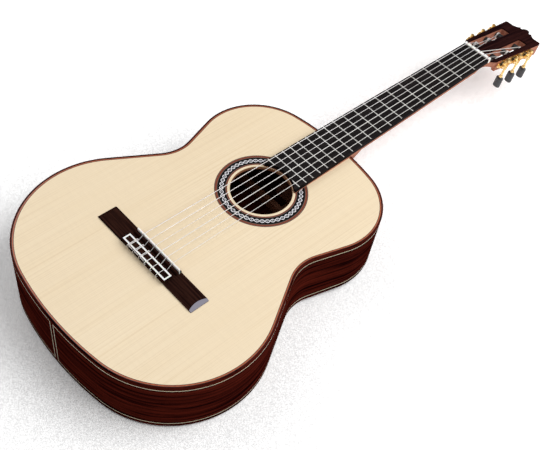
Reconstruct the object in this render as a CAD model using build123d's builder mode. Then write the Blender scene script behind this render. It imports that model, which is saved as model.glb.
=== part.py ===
from build123d import *
from math import acos, atan2, cos, degrees, pi, radians, sin, sqrt, tan
import os

# A classical guitar lying on its back, in millimetres.
# +X is the treble side, +Y runs towards the head, +Z points out of the soundboard.
# The origin is the centre of the guitar's box, on the lowest point of the domed back.

# ---------------------------------------------------------------- driving dimensions
# Body outline: tangent arcs and straights, from the neck joint round to the tail.
# Each heading is the angle, from straight across, at which a stretch ends.
top_arc_radius = 390.0
top_arc_heading = 11.3
shoulder_radius = 91.0
shoulder_heading = 107.6
upper_flank_length = 48.2
waist_radius = 57.5
waist_heading = 60.3
lower_flank_length = 75.2
lower_bout_radius = 133.8
lower_bout_heading = 170.0

body_top_z = 99.0
back_dome_radius = 4600.0
dome_from_tail = 131.0

soundboard_thickness = 2.5
back_thickness = 2.6
side_thickness = 2.2
binding_height = 6.0
purfling_width = 2.3
side_line_depth = 1.0
side_line_height = 1.2
lining_width = 6.0
lining_height = 14.0
block_depth = 20.0

hole_radius = 43.5
hole_from_joint = 149.0
hole_ring_radius = 68.0
rosette_depth = 1.2
rosette_inner_radius = 47.1
rosette_band_inner = 49.9
rosette_band_outer = 60.1
rosette_outer_radius = 64.9

# Neck, fretboard and head.
scale_length = 650.0
fret_count = 19
joint_fret = 12
board_tilt = 1.0
board_height_at_joint = 9.4
board_thickness = 6.0
half_width_at_nut = 26.0
half_width_at_joint = 31.0
fret_width = 2.2
fret_height = 1.1
nut_width = 6.0
nut_height = 2.3
nut_shoulder = 1.6
head_tilt = 10.5
head_face_drop = 3.0
head_thickness = 19.0
veneer_thickness = 2.5
head_root_half_width = 27.4
head_side_start = (32.6, 11.0)
head_side_end = (37.0, 139.0)
head_tip = 157.5
slot_inner = 10.0
slot_outer = 27.0
slot_start = 8.0
slot_end = 115.0
slot_corner = 3.0
ramp_start = 2.5
ramp_end = 12.0
ramp_depth = 9.0

# Tuners: three on each side of the head.
roller_depth = 10.5
roller_radius = 5.0
roller_neck_radius = 4.0
roller_tip_radius = 3.0
shaft_clearance = 0.08
plate_thickness = 1.5
plate_half_height = 7.75
plate_station = 70.0
screw_offsets = (-49.5, -20.0, 15.0, 49.5)
screw_shank_radius = 1.2
screw_length = 6.5
mesh_plane = 5.4
gear_teeth = 14
worm_pitch = 2.6
mesh_centres = 9.0
gear_root_radius = 5.0
gear_tip_radius = 6.5
gear_thickness = 2.4
worm_core_radius = 2.2
worm_outer_radius = 3.5
worm_turns = 3
worm_shaft_radius = 1.85
ear_inner = 5.2
ear_outer = 7.6
button_top = -25.5
button_length = 19.5
button_radii = (6.5, 4.5)

# Bridge, saddle and strings.
bridge_half_length = 94.6
bridge_width = 28.6
bridge_front_from_joint = 323.0
bridge_wing_height = 3.2
bridge_edge_height = 2.0
tie_block_half_length = 42.5
tie_block_width = 13.0
tie_block_height = 9.0
saddle_block_height = 7.4
saddle_block_width = 8.6
saddle_thickness = 2.8
saddle_compensation = 1.8
saddle_top_height = 11.0
inlay_thickness = 1.0
inlay_strip = 2.2
tie_hole_height = 4.0
tie_hole_radius = 0.75
string_spacing_nut = 8.6
string_spacing_saddle = 11.6
string_nut_height = 1.5
string_diameters = (0.72, 0.82, 1.02, 0.74, 0.89, 1.09)
winding_gap = 0.15

# ---------------------------------------------------------------- places worked out from them
def heading_sine(heading):
    return sin(radians(heading))


def heading_cosine(heading):
    return cos(radians(heading))


# The tail arc's radius closes the outline on the centre line.
tail_radius = (
    top_arc_radius * heading_sine(top_arc_heading)
    + shoulder_radius * (heading_sine(shoulder_heading) - heading_sine(top_arc_heading))
    + upper_flank_length * heading_cosine(shoulder_heading)
    + waist_radius * (heading_sine(shoulder_heading) - heading_sine(waist_heading))
    + lower_flank_length * heading_cosine(waist_heading)
    + lower_bout_radius * (heading_sine(lower_bout_heading) - heading_sine(waist_heading))
) / heading_sine(lower_bout_heading)
body_length = (
    top_arc_radius * (1 - heading_cosine(top_arc_heading))
    + shoulder_radius * (heading_cosine(top_arc_heading) - heading_cosine(shoulder_heading))
    + upper_flank_length * heading_sine(shoulder_heading)
    + waist_radius * (heading_cosine(waist_heading) - heading_cosine(shoulder_heading))
    + lower_flank_length * heading_sine(waist_heading)
    + lower_bout_radius * (heading_cosine(waist_heading) - heading_cosine(lower_bout_heading))
    + tail_radius * (heading_cosine(lower_bout_heading) + 1)
)


def fret_distance(fret):
    """Distance from the nut to a fret, along the board."""
    return scale_length * (1 - 2 ** (-fret / 12))


def board_half_width(distance):
    """Half the fretboard's width at a distance from the nut."""
    spread = (half_width_at_joint - half_width_at_nut) / fret_distance(joint_fret)
    return half_width_at_nut + spread * distance


head_slope = head_tilt - board_tilt
neck_reach = fret_distance(joint_fret) * cos(radians(board_tilt))
head_reach = nut_width * cos(radians(board_tilt)) + head_tip * cos(radians(head_slope))
joint_y = body_length - (body_length + neck_reach + head_reach) / 2
tail_y = joint_y - body_length
hole_y = joint_y - hole_from_joint
dome_y = tail_y + dome_from_tail
top_underside_z = body_top_z - soundboard_thickness

board_along = Vector(0, cos(radians(board_tilt)), sin(radians(board_tilt)))
board_normal = Vector(0, -sin(radians(board_tilt)), cos(radians(board_tilt)))
nut_point = Vector(0, joint_y, body_top_z + board_height_at_joint) + board_along * fret_distance(joint_fret)
board_plane = Plane(origin=nut_point, x_dir=(1, 0, 0), z_dir=board_normal)

head_along = Vector(0, cos(radians(head_slope)), -sin(radians(head_slope)))
head_normal = Vector(0, sin(radians(head_slope)), cos(radians(head_slope)))
head_origin = nut_point + board_along * nut_width - board_normal * head_face_drop
head_plane = Plane(origin=head_origin, x_dir=(1, 0, 0), z_dir=head_normal)

side_taper = atan2(head_side_end[0] - head_side_start[0], head_side_end[1] - head_side_start[1])
saddle_distance = scale_length + saddle_compensation
saddle_y = (nut_point - board_along * saddle_distance).Y
bridge_front_y = joint_y - bridge_front_from_joint


def back_height(x, y):
    """Height of the back's domed outer surface."""
    return back_dome_radius - sqrt(back_dome_radius**2 - x**2 - (y - dome_y) ** 2)


def write(piece, name):
    """Label a finished piece and write it as a STEP file."""
    piece.part.label = name
    export_step(piece.part, f"parts/{name}.step")


os.makedirs("parts", exist_ok=True)

# ---------------------------------------------------------------- body outline
def body_face(inset):
    """The body's plan, set in from its outer edge."""
    with BuildSketch() as plan:
        with BuildLine():
            top = JernArc((0, joint_y - inset), (1, 0), top_arc_radius - inset, -top_arc_heading)
            shoulder = JernArc(top @ 1, top % 1, shoulder_radius - inset, top_arc_heading - shoulder_heading)
            upper_flank = PolarLine(shoulder @ 1, upper_flank_length, direction=shoulder % 1)
            waist = JernArc(
                upper_flank @ 1, upper_flank % 1, waist_radius + inset, shoulder_heading - waist_heading
            )
            lower_flank = PolarLine(waist @ 1, lower_flank_length, direction=waist % 1)
            bout = JernArc(
                lower_flank @ 1, lower_flank % 1, lower_bout_radius - inset, waist_heading - lower_bout_heading
            )
            tail = JernArc(bout @ 1, bout % 1, tail_radius - inset, lower_bout_heading - 180)
            Line(tail @ 1, top @ 0)
        make_face()
        mirror(about=Plane.YZ)
    return plan.sketch


purfling_inset = side_thickness + purfling_width
lining_inset = side_thickness + lining_width
outer_plan = body_face(0)
line_plan = body_face(side_line_depth)
side_plan = body_face(side_thickness)
top_plan = body_face(purfling_inset)
chamber_plan = body_face(lining_inset)


def ring(outer, inner, low, high):
    """Prism between two plans."""
    with BuildSketch(Plane.XY.offset(low)) as band:
        add(outer)
        add(inner, mode=Mode.SUBTRACT)
    extrude(band.sketch, amount=high - low)


def keep_above_dome(rise):
    """Keep what lies above the back's surface raised by an amount."""
    with Locations((0, dome_y, back_dome_radius + rise)):
        Sphere(back_dome_radius, rotation=(90, 0, 0), mode=Mode.INTERSECT)


def keep_below_dome(rise):
    """Keep what lies below the back's surface raised by an amount."""
    with Locations((0, dome_y, back_dome_radius + rise)):
        Sphere(back_dome_radius, rotation=(90, 0, 0), mode=Mode.SUBTRACT)


dome_low = -5.0
dome_high = 60.0

# ---------------------------------------------------------------- soundboard and rosette
with BuildPart() as soundboard:
    with BuildSketch(Plane.XY.offset(top_underside_z)):
        add(top_plan)
        with Locations((0, hole_y)):
            Circle(hole_radius, mode=Mode.SUBTRACT)
    extrude(amount=soundboard_thickness)
    with BuildSketch(Plane.XY.offset(body_top_z)):
        with Locations((0, hole_y)):
            Circle(rosette_outer_radius)
            Circle(rosette_inner_radius, mode=Mode.SUBTRACT)
    extrude(amount=-rosette_depth, mode=Mode.SUBTRACT)
write(soundboard, "soundboard")

with BuildPart() as soundhole_ring:
    with BuildSketch(Plane.XY.offset(top_underside_z)):
        with Locations((0, hole_y)):
            Circle(hole_ring_radius)
            Circle(hole_radius, mode=Mode.SUBTRACT)
    extrude(amount=-soundboard_thickness)
write(soundhole_ring, "soundhole_ring")

with BuildPart() as rosette_band:
    with BuildSketch(Plane.XY.offset(body_top_z)):
        with Locations((0, hole_y)):
            Circle(rosette_band_outer)
            Circle(rosette_band_inner, mode=Mode.SUBTRACT)
    extrude(amount=-rosette_depth)
write(rosette_band, "rosette_band")

with BuildPart() as rosette_rings:
    with BuildSketch(Plane.XY.offset(body_top_z)):
        with Locations((0, hole_y)):
            Circle(rosette_outer_radius)
            Circle(rosette_band_outer, mode=Mode.SUBTRACT)
    extrude(amount=-rosette_depth)
    with BuildSketch(Plane.XY.offset(body_top_z)):
        with Locations((0, hole_y)):
            Circle(rosette_band_inner)
            Circle(rosette_inner_radius, mode=Mode.SUBTRACT)
    extrude(amount=-rosette_depth)
write(rosette_rings, "rosette_rings")

# ---------------------------------------------------------------- neck, heel, block and head
heel_bottom_z = back_height(0, joint_y)
heel_cap_thickness = 3.0
heel_cap_z = heel_bottom_z + heel_cap_thickness
neck_overlap = 4.0
# Each heel section: depth below the body's top, half width, length out from the joint.
heel_sections = (
    (-1.4, 30.0, 64.0),
    (10.0, 29.6, 59.0),
    (20.0, 27.2, 43.0),
    (38.0, 22.0, 30.0),
    (58.0, 17.0, 24.0),
    (body_top_z - heel_cap_z, 14.0, 21.0),
)
neck_end_half_width = 30.6
neck_block_half_width = 35.0
neck_block_length = 32.0
neck_foot_length = 75.0
neck_foot_height = 12.0
neck_tongue_half_width = 9.0
shaft_depth_at_nut = 16.0
shaft_depth_at_joint = 18.5
shaft_edge = 2.0
throat_start = 30.0
throat_end = 22.0
head_block_start = 15.5
tip_hole_depth = 6.5


def neck_section(distance, half_width, top, edge, depth):
    """Cross-section of the neck, at a distance past the nut: flat on top, round below."""
    plane = Plane(origin=nut_point + board_along * distance, x_dir=(1, 0, 0), z_dir=-board_along)
    with BuildSketch(plane) as section:
        with BuildLine():
            Line((-half_width, top), (half_width, top))
            Line((half_width, top), (half_width, top - edge))
            EllipticalCenterArc((0, top - edge), half_width, depth - edge, 0, arc_size=-180)
            Line((-half_width, top - edge), (-half_width, top))
        make_face()
    return section.sketch


def heel_section(depth, half_width, length):
    """Level section of the heel: half an ellipse, reaching a little into the body."""
    with BuildSketch(Plane.XY.offset(body_top_z - depth)) as section:
        with BuildLine():
            arch = EllipticalCenterArc((0, joint_y - neck_overlap), half_width, length + neck_overlap, 0,
                                       arc_size=180)
            Line(arch @ 1, arch @ 0)
        make_face()
    return section.sketch


def cut_body():
    """Cut away the body's whole shape, so that a piece fits round its curved side."""
    with BuildSketch(Plane.XY.offset(dome_low)) as body:
        add(outer_plan)
    extrude(body.sketch, amount=body_top_z - dome_low, mode=Mode.SUBTRACT)


def head_face():
    """The head's outline on its face, from the nut to the crest."""
    with BuildSketch() as outline:
        with BuildLine():
            root = Line((0, 0), (head_root_half_width, 0))
            flare = Spline(root @ 1, head_side_start, tangents=((0.3, 1), (tan(side_taper), 1)))
            side = Line(flare @ 1, head_side_end)
            corner = ThreePointArc(side @ 1, (35.9, 142.2), (33.2, 143.2))
            shelf = Line(corner @ 1, (24.0, 142.8))
            scoop = ThreePointArc(shelf @ 1, (16.6, 146.0), (11.8, 152.6))
            notch = ThreePointArc(scoop @ 1, (8.8, 148.9), (6.8, 149.6))
            lobe = ThreePointArc(notch @ 1, (4.2, 155.4), (0, head_tip))
            Line(lobe @ 1, root @ 0)
        make_face()
        mirror(about=Plane.YZ)
    return outline.sketch


def cut_head_slots(depth):
    """Cut the two string slots, and their ramps at the nut end, through what is built so far."""
    width = slot_outer - slot_inner
    middle = (slot_outer + slot_inner) / 2
    with BuildSketch(head_plane) as slots:
        for side in (-1, 1):
            with Locations((side * middle, (slot_start + slot_end) / 2)):
                RectangleRounded(width, slot_end - slot_start, slot_corner)
    extrude(slots.sketch, amount=-depth, mode=Mode.SUBTRACT)
    ramp_plane = Plane(origin=head_origin, x_dir=head_along, z_dir=(-1, 0, 0))
    for side in (-1, 1):
        with BuildSketch(ramp_plane.offset(side * middle - width / 2)) as ramp:
            with BuildLine():
                Polyline((ramp_start, 0), (ramp_end, 0), (ramp_end, ramp_depth), (ramp_start, 0))
            make_face()
        extrude(ramp.sketch, amount=width, mode=Mode.SUBTRACT)


def head_point(x, along, height):
    """A point given on the head's own axes."""
    return head_origin + Vector(x, 0, 0) + head_along * along + head_normal * height


def head_half_width(along):
    """Half the head's width beside a roller."""
    return head_side_start[0] + (along - head_side_start[1]) * tan(side_taper)


def outward(side):
    """Direction square to the head's tapered side."""
    return Vector(side * cos(side_taper), 0, 0) - head_along * sin(side_taper)


def side_along(side):
    """Direction along the head's tapered side, away from the nut."""
    return Vector(side * sin(side_taper), 0, 0) + head_along * cos(side_taper)


def tuner_plane(side, along):
    """Plane on the head's side, facing outward, with its X along the side."""
    origin = head_point(side * head_half_width(along), along, -roller_depth)
    return Plane(origin=origin, x_dir=side_along(side) * side, z_dir=outward(side))


def worm_plane(side, along):
    """Plane across a worm's axis, level with the rollers, facing out of the head's face."""
    origin = tuner_plane(side, along).origin + side_along(side) * mesh_centres + outward(side) * mesh_plane
    return Plane(origin=origin, x_dir=outward(side) * side, z_dir=head_normal)


def wall_depth(along, x):
    """Distance from the head's side to a slot wall, along a roller."""
    return (head_half_width(along) - x) / cos(side_taper)


def disc(plane, radius, low, high, mode=Mode.ADD):
    """Round bar between two heights above a plane."""
    with BuildSketch(plane.offset(low)) as end:
        Circle(radius)
    extrude(end.sketch, amount=high - low, mode=mode)


def screw_places(side):
    """Centres of a tuner plate's screws, on the plate's own plane."""
    return [(side * offset, 0) for offset in screw_offsets]


# Strings 1 to 3 run to the treble side and 4 to 6 to the bass side, the outer strings to the
# rollers nearest the nut.
head_plan = head_face()
tuner_places = ((1, 31.0), (1, 66.0), (1, 101.0), (-1, 101.0), (-1, 66.0), (-1, 31.0))

with BuildPart() as inner_block:
    with BuildSketch(Plane.XY.offset(dome_low)):
        with Locations((0, joint_y)):
            Rectangle(2 * neck_block_half_width, neck_foot_length, align=(Align.CENTER, Align.MAX))
        add(side_plan, mode=Mode.INTERSECT)
    extrude(amount=dome_high)
    keep_below_dome(back_thickness + neck_foot_height)
    with BuildSketch(Plane.XY.offset(dome_low)):
        with Locations((0, joint_y)):
            Rectangle(2 * neck_block_half_width, neck_block_length, align=(Align.CENTER, Align.MAX))
        add(side_plan, mode=Mode.INTERSECT)
    extrude(amount=top_underside_z - dome_low)
    keep_above_dome(back_thickness)

with BuildPart() as shaft:
    body_end = neck_section(-fret_distance(joint_fret) - neck_overlap, neck_end_half_width,
                            -board_thickness, shaft_edge, shaft_depth_at_joint)
    throat_end_of_shaft = neck_section(-throat_start, board_half_width(throat_start),
                                       -board_thickness, shaft_edge, shaft_depth_at_nut)
    loft([body_end, throat_end_of_shaft], ruled=True)
    cut_body()

with BuildPart() as heel:
    loft([heel_section(*section) for section in heel_sections])
    cut_body()

with BuildPart() as throat:
    # The round shaft grows into the square head.
    under_nut = neck_section(0, half_width_at_nut, -4.5, 5.0, shaft_depth_at_nut + 1.8)
    head_root = neck_section(throat_end, head_side_start[0] + 0.1, -6.0, 19.0, 21.9)
    loft([throat_end_of_shaft, under_nut, head_root])
    with BuildSketch(board_plane.offset(-board_thickness)):
        with Locations((0, nut_width)):
            Rectangle(100, 100, align=(Align.CENTER, Align.MAX))
    extrude(amount=20, mode=Mode.SUBTRACT)
    with BuildSketch(head_plane.offset(-veneer_thickness)):
        Rectangle(100, 60, align=(Align.CENTER, Align.MIN))
    extrude(amount=20, mode=Mode.SUBTRACT)

with BuildPart() as neck:
    add(shaft.part)
    add(heel.part)
    add(throat.part)
    # Head.
    with BuildSketch(head_plane.offset(-veneer_thickness)):
        add(head_plan)
        Rectangle(100, head_block_start, align=(Align.CENTER, Align.MIN), mode=Mode.SUBTRACT)
    extrude(amount=-head_thickness)
    cut_head_slots(head_thickness + veneer_thickness + 10)
    for side, along in tuner_places:
        station = tuner_plane(side, along)
        rim = wall_depth(along, slot_outer)
        core = wall_depth(along, slot_inner)
        disc(station, roller_neck_radius + shaft_clearance, -rim - 1, 1, Mode.SUBTRACT)
        disc(station, roller_tip_radius + shaft_clearance, -core - tip_hole_depth, 1 - core, Mode.SUBTRACT)
    for side in (1, -1):
        with BuildSketch(tuner_plane(side, plate_station).offset(plate_thickness - screw_length)):
            with Locations(*screw_places(side)):
                Circle(screw_shank_radius)
        extrude(amount=screw_length, mode=Mode.SUBTRACT)
    # Inside the body: the block with its foot, and the tongue through the sides.
    add(inner_block.part)
    with BuildSketch(Plane.XY.offset(heel_cap_z)):
        with Locations((0, joint_y)):
            Rectangle(2 * neck_tongue_half_width, 4 * side_thickness)
    extrude(amount=body_top_z - binding_height - heel_cap_z)
    with BuildSketch(Plane.XY.offset(body_top_z - binding_height)):
        with Locations((0, joint_y)):
            Rectangle(2 * neck_end_half_width, 4 * side_thickness, align=(Align.CENTER, Align.MAX))
        add(outer_plan, mode=Mode.INTERSECT)
        add(top_plan, mode=Mode.SUBTRACT)
    extrude(amount=binding_height)
write(neck, "neck")

with BuildPart() as heel_cap:
    extrude(heel_section(*heel_sections[-1]), amount=-heel_cap_thickness)
    cut_body()
write(heel_cap, "heel_cap")

with BuildPart() as head_plate:
    with BuildSketch(head_plane):
        add(head_plan)
    extrude(amount=-veneer_thickness)
    # Its end butts against the nut's upright back.
    with BuildSketch(board_plane.offset(-20)):
        with Locations((0, nut_width)):
            Rectangle(100, 20, align=(Align.CENTER, Align.MAX))
    extrude(amount=40, mode=Mode.SUBTRACT)
    cut_head_slots(veneer_thickness + 10)
write(head_plate, "head_plate")

# ---------------------------------------------------------------- sides, bindings and purfling
graft_half_width = 2.8
line_edge = graft_half_width + side_line_depth
far = 600.0
side_top_z = body_top_z - binding_height
line_bottom_z = side_top_z - side_line_height


def cut_box(x_low, x_high, y_low, y_high, mode=Mode.SUBTRACT):
    """Cut away, or keep, an upright block that passes through the whole body."""
    with BuildSketch(Plane.XY.offset(-far / 2)) as block:
        with Locations(((x_low + x_high) / 2, (y_low + y_high) / 2)):
            Rectangle(x_high - x_low, y_high - y_low)
    extrude(block.sketch, amount=far, mode=mode)


with BuildPart() as graft_lines:
    ring(outer_plan, line_plan, dome_low, side_top_z)
    keep_above_dome(binding_height)
    cut_box(-line_edge, line_edge, tail_y - 5, tail_y + 10, Mode.INTERSECT)

with BuildPart() as side_skin:
    ring(outer_plan, line_plan, dome_low, line_bottom_z)
    keep_above_dome(binding_height + side_line_height)
    cut_box(-line_edge, line_edge, tail_y - 5, tail_y + 10)

with BuildPart() as side_ring:
    ring(line_plan, side_plan, dome_low, side_top_z)
    keep_above_dome(binding_height)
    add(side_skin.part)
    cut_box(-neck_tongue_half_width, neck_tongue_half_width, joint_y - 10, joint_y + 5)
    cut_box(-graft_half_width, graft_half_width, tail_y - 5, tail_y + 10)

with BuildPart() as side_treble:
    add(side_ring.part)
    cut_box(0, far, -far, far, Mode.INTERSECT)
write(side_treble, "side_treble")

with BuildPart() as side_bass:
    add(side_ring.part)
    cut_box(-far, 0, -far, far, Mode.INTERSECT)
write(side_bass, "side_bass")

with BuildPart() as end_graft:
    ring(outer_plan, side_plan, dome_low, side_top_z)
    keep_above_dome(binding_height)
    cut_box(-graft_half_width, graft_half_width, tail_y - 5, tail_y + 10, Mode.INTERSECT)
write(end_graft, "end_graft")

with BuildPart() as top_binding:
    ring(outer_plan, side_plan, side_top_z, body_top_z)
    cut_box(-neck_end_half_width, neck_end_half_width, joint_y - 10, joint_y + 5)
write(top_binding, "top_binding")

with BuildPart() as back_binding:
    ring(outer_plan, side_plan, dome_low, dome_high)
    keep_above_dome(0)
    keep_below_dome(binding_height)
    cut_box(-neck_tongue_half_width, neck_tongue_half_width, joint_y - 10, joint_y + 5)
write(back_binding, "back_binding")

with BuildPart() as back_line:
    ring(outer_plan, line_plan, dome_low, dome_high)
    keep_above_dome(binding_height)
    keep_below_dome(binding_height + side_line_height)

with BuildPart() as purfling:
    ring(outer_plan, line_plan, line_bottom_z, side_top_z)
    add(back_line.part)
    add(graft_lines.part)
    cut_box(-graft_half_width, graft_half_width, tail_y - 5, tail_y + 10)
    cut_box(-neck_tongue_half_width, neck_tongue_half_width, joint_y - 10, joint_y + 5)
    # The band round the soundboard's edge.
    with BuildSketch(Plane.XY.offset(top_underside_z)):
        add(side_plan)
        add(top_plan, mode=Mode.SUBTRACT)
        with Locations((0, joint_y)):
            Rectangle(2 * neck_end_half_width, 20, mode=Mode.SUBTRACT)
    extrude(amount=soundboard_thickness)
write(purfling, "purfling")

# ---------------------------------------------------------------- back
inlay_half_width = 1.2
strip_half_width = 8.0
strip_thickness = 2.0
tail_block_half_width = 40.0
brace_width = 8.0
brace_height = 14.0
back_brace_distances = (100.0, 215.0, 350.0)

with BuildPart() as back_plate:
    with BuildSketch(Plane.XY.offset(dome_low)):
        add(side_plan)
    extrude(amount=dome_high)
    keep_above_dome(0)
    keep_below_dome(back_thickness)

with BuildPart() as back:
    add(back_plate.part)
    cut_box(-inlay_half_width, inlay_half_width, -far, far)
write(back, "back")

with BuildPart() as back_inlay:
    add(back_plate.part)
    cut_box(-inlay_half_width, inlay_half_width, -far, far, Mode.INTERSECT)
write(back_inlay, "back_inlay")

with BuildPart() as back_braces:
    with BuildSketch(Plane.XY.offset(dome_low)):
        with Locations(*[(0, joint_y - distance) for distance in back_brace_distances]):
            Rectangle(far, brace_width)
        add(chamber_plan, mode=Mode.INTERSECT)
    extrude(amount=dome_high)
    keep_above_dome(back_thickness)
    keep_below_dome(back_thickness + brace_height)
write(back_braces, "back_braces")

with BuildPart() as back_strip:
    with BuildSketch(Plane.XY.offset(dome_low)):
        with Locations((0, (joint_y - neck_foot_length + tail_y + block_depth) / 2)):
            Rectangle(2 * strip_half_width, body_length - neck_foot_length - block_depth)
        with Locations(*[(0, joint_y - distance) for distance in back_brace_distances]):
            Rectangle(far, brace_width, mode=Mode.SUBTRACT)
    extrude(amount=dome_high)
    keep_above_dome(back_thickness)
    keep_below_dome(back_thickness + strip_thickness)
write(back_strip, "back_strip")

# ---------------------------------------------------------------- inside the body
with BuildPart() as tail_block:
    with BuildSketch(Plane.XY.offset(dome_low)):
        with Locations((0, tail_y)):
            Rectangle(2 * tail_block_half_width, block_depth, align=(Align.CENTER, Align.MIN))
        add(side_plan, mode=Mode.INTERSECT)
    extrude(amount=top_underside_z - dome_low)
    keep_above_dome(back_thickness)
write(tail_block, "tail_block")

with BuildPart() as back_lining:
    ring(side_plan, chamber_plan, dome_low, dome_high)
    keep_above_dome(back_thickness)
    keep_below_dome(back_thickness + lining_height)

with BuildPart() as linings:
    ring(side_plan, chamber_plan, top_underside_z - lining_height, top_underside_z)
    add(back_lining.part)
    cut_box(-neck_block_half_width, neck_block_half_width, joint_y - neck_block_length, joint_y + 5)
    cut_box(-tail_block_half_width, tail_block_half_width, tail_y - 5, tail_y + block_depth)
write(linings, "linings")

# Two bars cross above and below the soundhole, and seven fan struts lie below it.
bar_distances = (71.0, 222.0)
fan_start = 230.0
fan_end = 440.0
fan_width = 5.0
fan_height = 5.0
fan_start_spacing = 15.0
fan_end_spacing = 38.0

with BuildPart() as top_braces:
    with BuildSketch(Plane.XY.offset(top_underside_z)):
        with Locations(*[(0, joint_y - distance) for distance in bar_distances]):
            Rectangle(far, brace_width)
        add(chamber_plan, mode=Mode.INTERSECT)
    extrude(amount=-brace_height)
    with BuildSketch(Plane.XY.offset(top_underside_z)):
        for place in range(-3, 4):
            start = Vector(place * fan_start_spacing, joint_y - fan_start)
            end = Vector(place * fan_end_spacing, joint_y - fan_end + 6 * place**2)
            with Locations(Location((start + end) / 2, (0, 0, degrees(atan2((end - start).Y, (end - start).X))))):
                Rectangle((end - start).length, fan_width)
    extrude(amount=-fan_height)
write(top_braces, "top_braces")

# ---------------------------------------------------------------- fretboard, frets and nut
board_end = 441.0
fret_inset = 0.4
end_arc_radius = hole_radius + 0.7
board_underside = board_plane.offset(-board_thickness)


def board_face(start, end):
    """Plan of the fretboard between two distances from the nut."""
    near = board_half_width(start)
    wide = board_half_width(end)
    with BuildSketch() as plan:
        with BuildLine():
            Polyline((-near, -start), (near, -start), (wide, -end), (-wide, -end), (-near, -start))
        make_face()
    return plan.sketch


def cut_end_arc():
    """Cut the hollow end that follows the soundhole."""
    with BuildSketch(Plane.XY.offset(body_top_z)) as circle:
        with Locations((0, hole_y)):
            Circle(end_arc_radius)
    extrude(circle.sketch, amount=40, mode=Mode.SUBTRACT)


with BuildPart() as fretboard:
    with BuildSketch(board_plane):
        add(board_face(0, board_end))
    extrude(amount=-board_thickness)
    cut_end_arc()
write(fretboard, "fretboard")

with BuildPart() as fretboard_wedge:
    with BuildSketch(board_underside):
        add(board_face(fret_distance(joint_fret) + neck_overlap, board_end))
    extrude(amount=-20)
    add(shaft.part, mode=Mode.SUBTRACT)
    add(heel.part, mode=Mode.SUBTRACT)
    cut_end_arc()
    with BuildSketch(Plane.XY.offset(body_top_z)):
        Rectangle(far, 2 * far)
    extrude(amount=-far / 2, mode=Mode.SUBTRACT)
write(fretboard_wedge, "fretboard_wedge")


def fret_plane(distance, x):
    """Plane across a fret, facing the treble side."""
    origin = nut_point - board_along * distance + Vector(x, 0, 0)
    return Plane(origin=origin, x_dir=board_along, z_dir=(1, 0, 0))


with BuildPart() as frets:
    for fret in range(1, fret_count + 1):
        half_length = board_half_width(fret_distance(fret)) - fret_inset
        with BuildSketch(fret_plane(fret_distance(fret), -half_length)) as crown:
            with BuildLine():
                arc = ThreePointArc((-fret_width / 2, 0), (0, fret_height), (fret_width / 2, 0))
                Line(arc @ 1, arc @ 0)
            make_face()
        extrude(crown.sketch, amount=2 * half_length)
    cut_end_arc()
write(frets, "frets")


def string_x(number, spacing):
    """Sideways place of a string, counted from the treble side."""
    return (2.5 - number) * spacing


nut_land = 4.6
slot_land = 1.6
slot_fall = 0.8
slot_mouth = 2.6
with BuildPart() as nut:
    nut_end = Plane(origin=nut_point - Vector(half_width_at_nut, 0, 0), x_dir=board_along, z_dir=(1, 0, 0))
    with BuildSketch(nut_end):
        with BuildLine():
            Polyline(
                (0, -board_thickness), (0, nut_height - 0.3), (0.3, nut_height), (nut_land, nut_height),
                (nut_width, nut_shoulder), (nut_width, -board_thickness), (0, -board_thickness),
            )
        make_face()
    extrude(amount=2 * half_width_at_nut)
    # String slots, each opening into a wider mouth that falls away towards the head.
    for number, diameter in enumerate(string_diameters):
        with BuildSketch(board_plane.offset(string_nut_height - 0.05)):
            with Locations((string_x(number, string_spacing_nut), 0)):
                Rectangle(diameter + 0.1, 12)
        extrude(amount=5, mode=Mode.SUBTRACT)
        mouth_start = half_width_at_nut + string_x(number, string_spacing_nut) - slot_mouth / 2
        with BuildSketch(nut_end.offset(mouth_start)):
            Polygon(
                (slot_land, nut_height),
                (nut_width + 1, nut_height - slot_fall * (nut_width + 1 - slot_land)),
                (nut_width + 1, nut_height + 1),
                (slot_land, nut_height + 1),
                align=None,
            )
        extrude(amount=slot_mouth, mode=Mode.SUBTRACT)
write(nut, "nut")

# ---------------------------------------------------------------- bridge and saddle
bridge_back_y = bridge_front_y - bridge_width
tie_front = bridge_width - tie_block_width
saddle_seat = 2.6
saddle_rounding = 1.2
valley_height = 3.4
block_setback = 0.6
bevel_length = 6.6


def bridge_end(half_length):
    """Upright plane at the bridge's treble end, with X running back from its front edge."""
    return Plane(origin=(half_length, bridge_front_y, body_top_z), x_dir=(0, -1, 0), z_dir=(-1, 0, 0))


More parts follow.
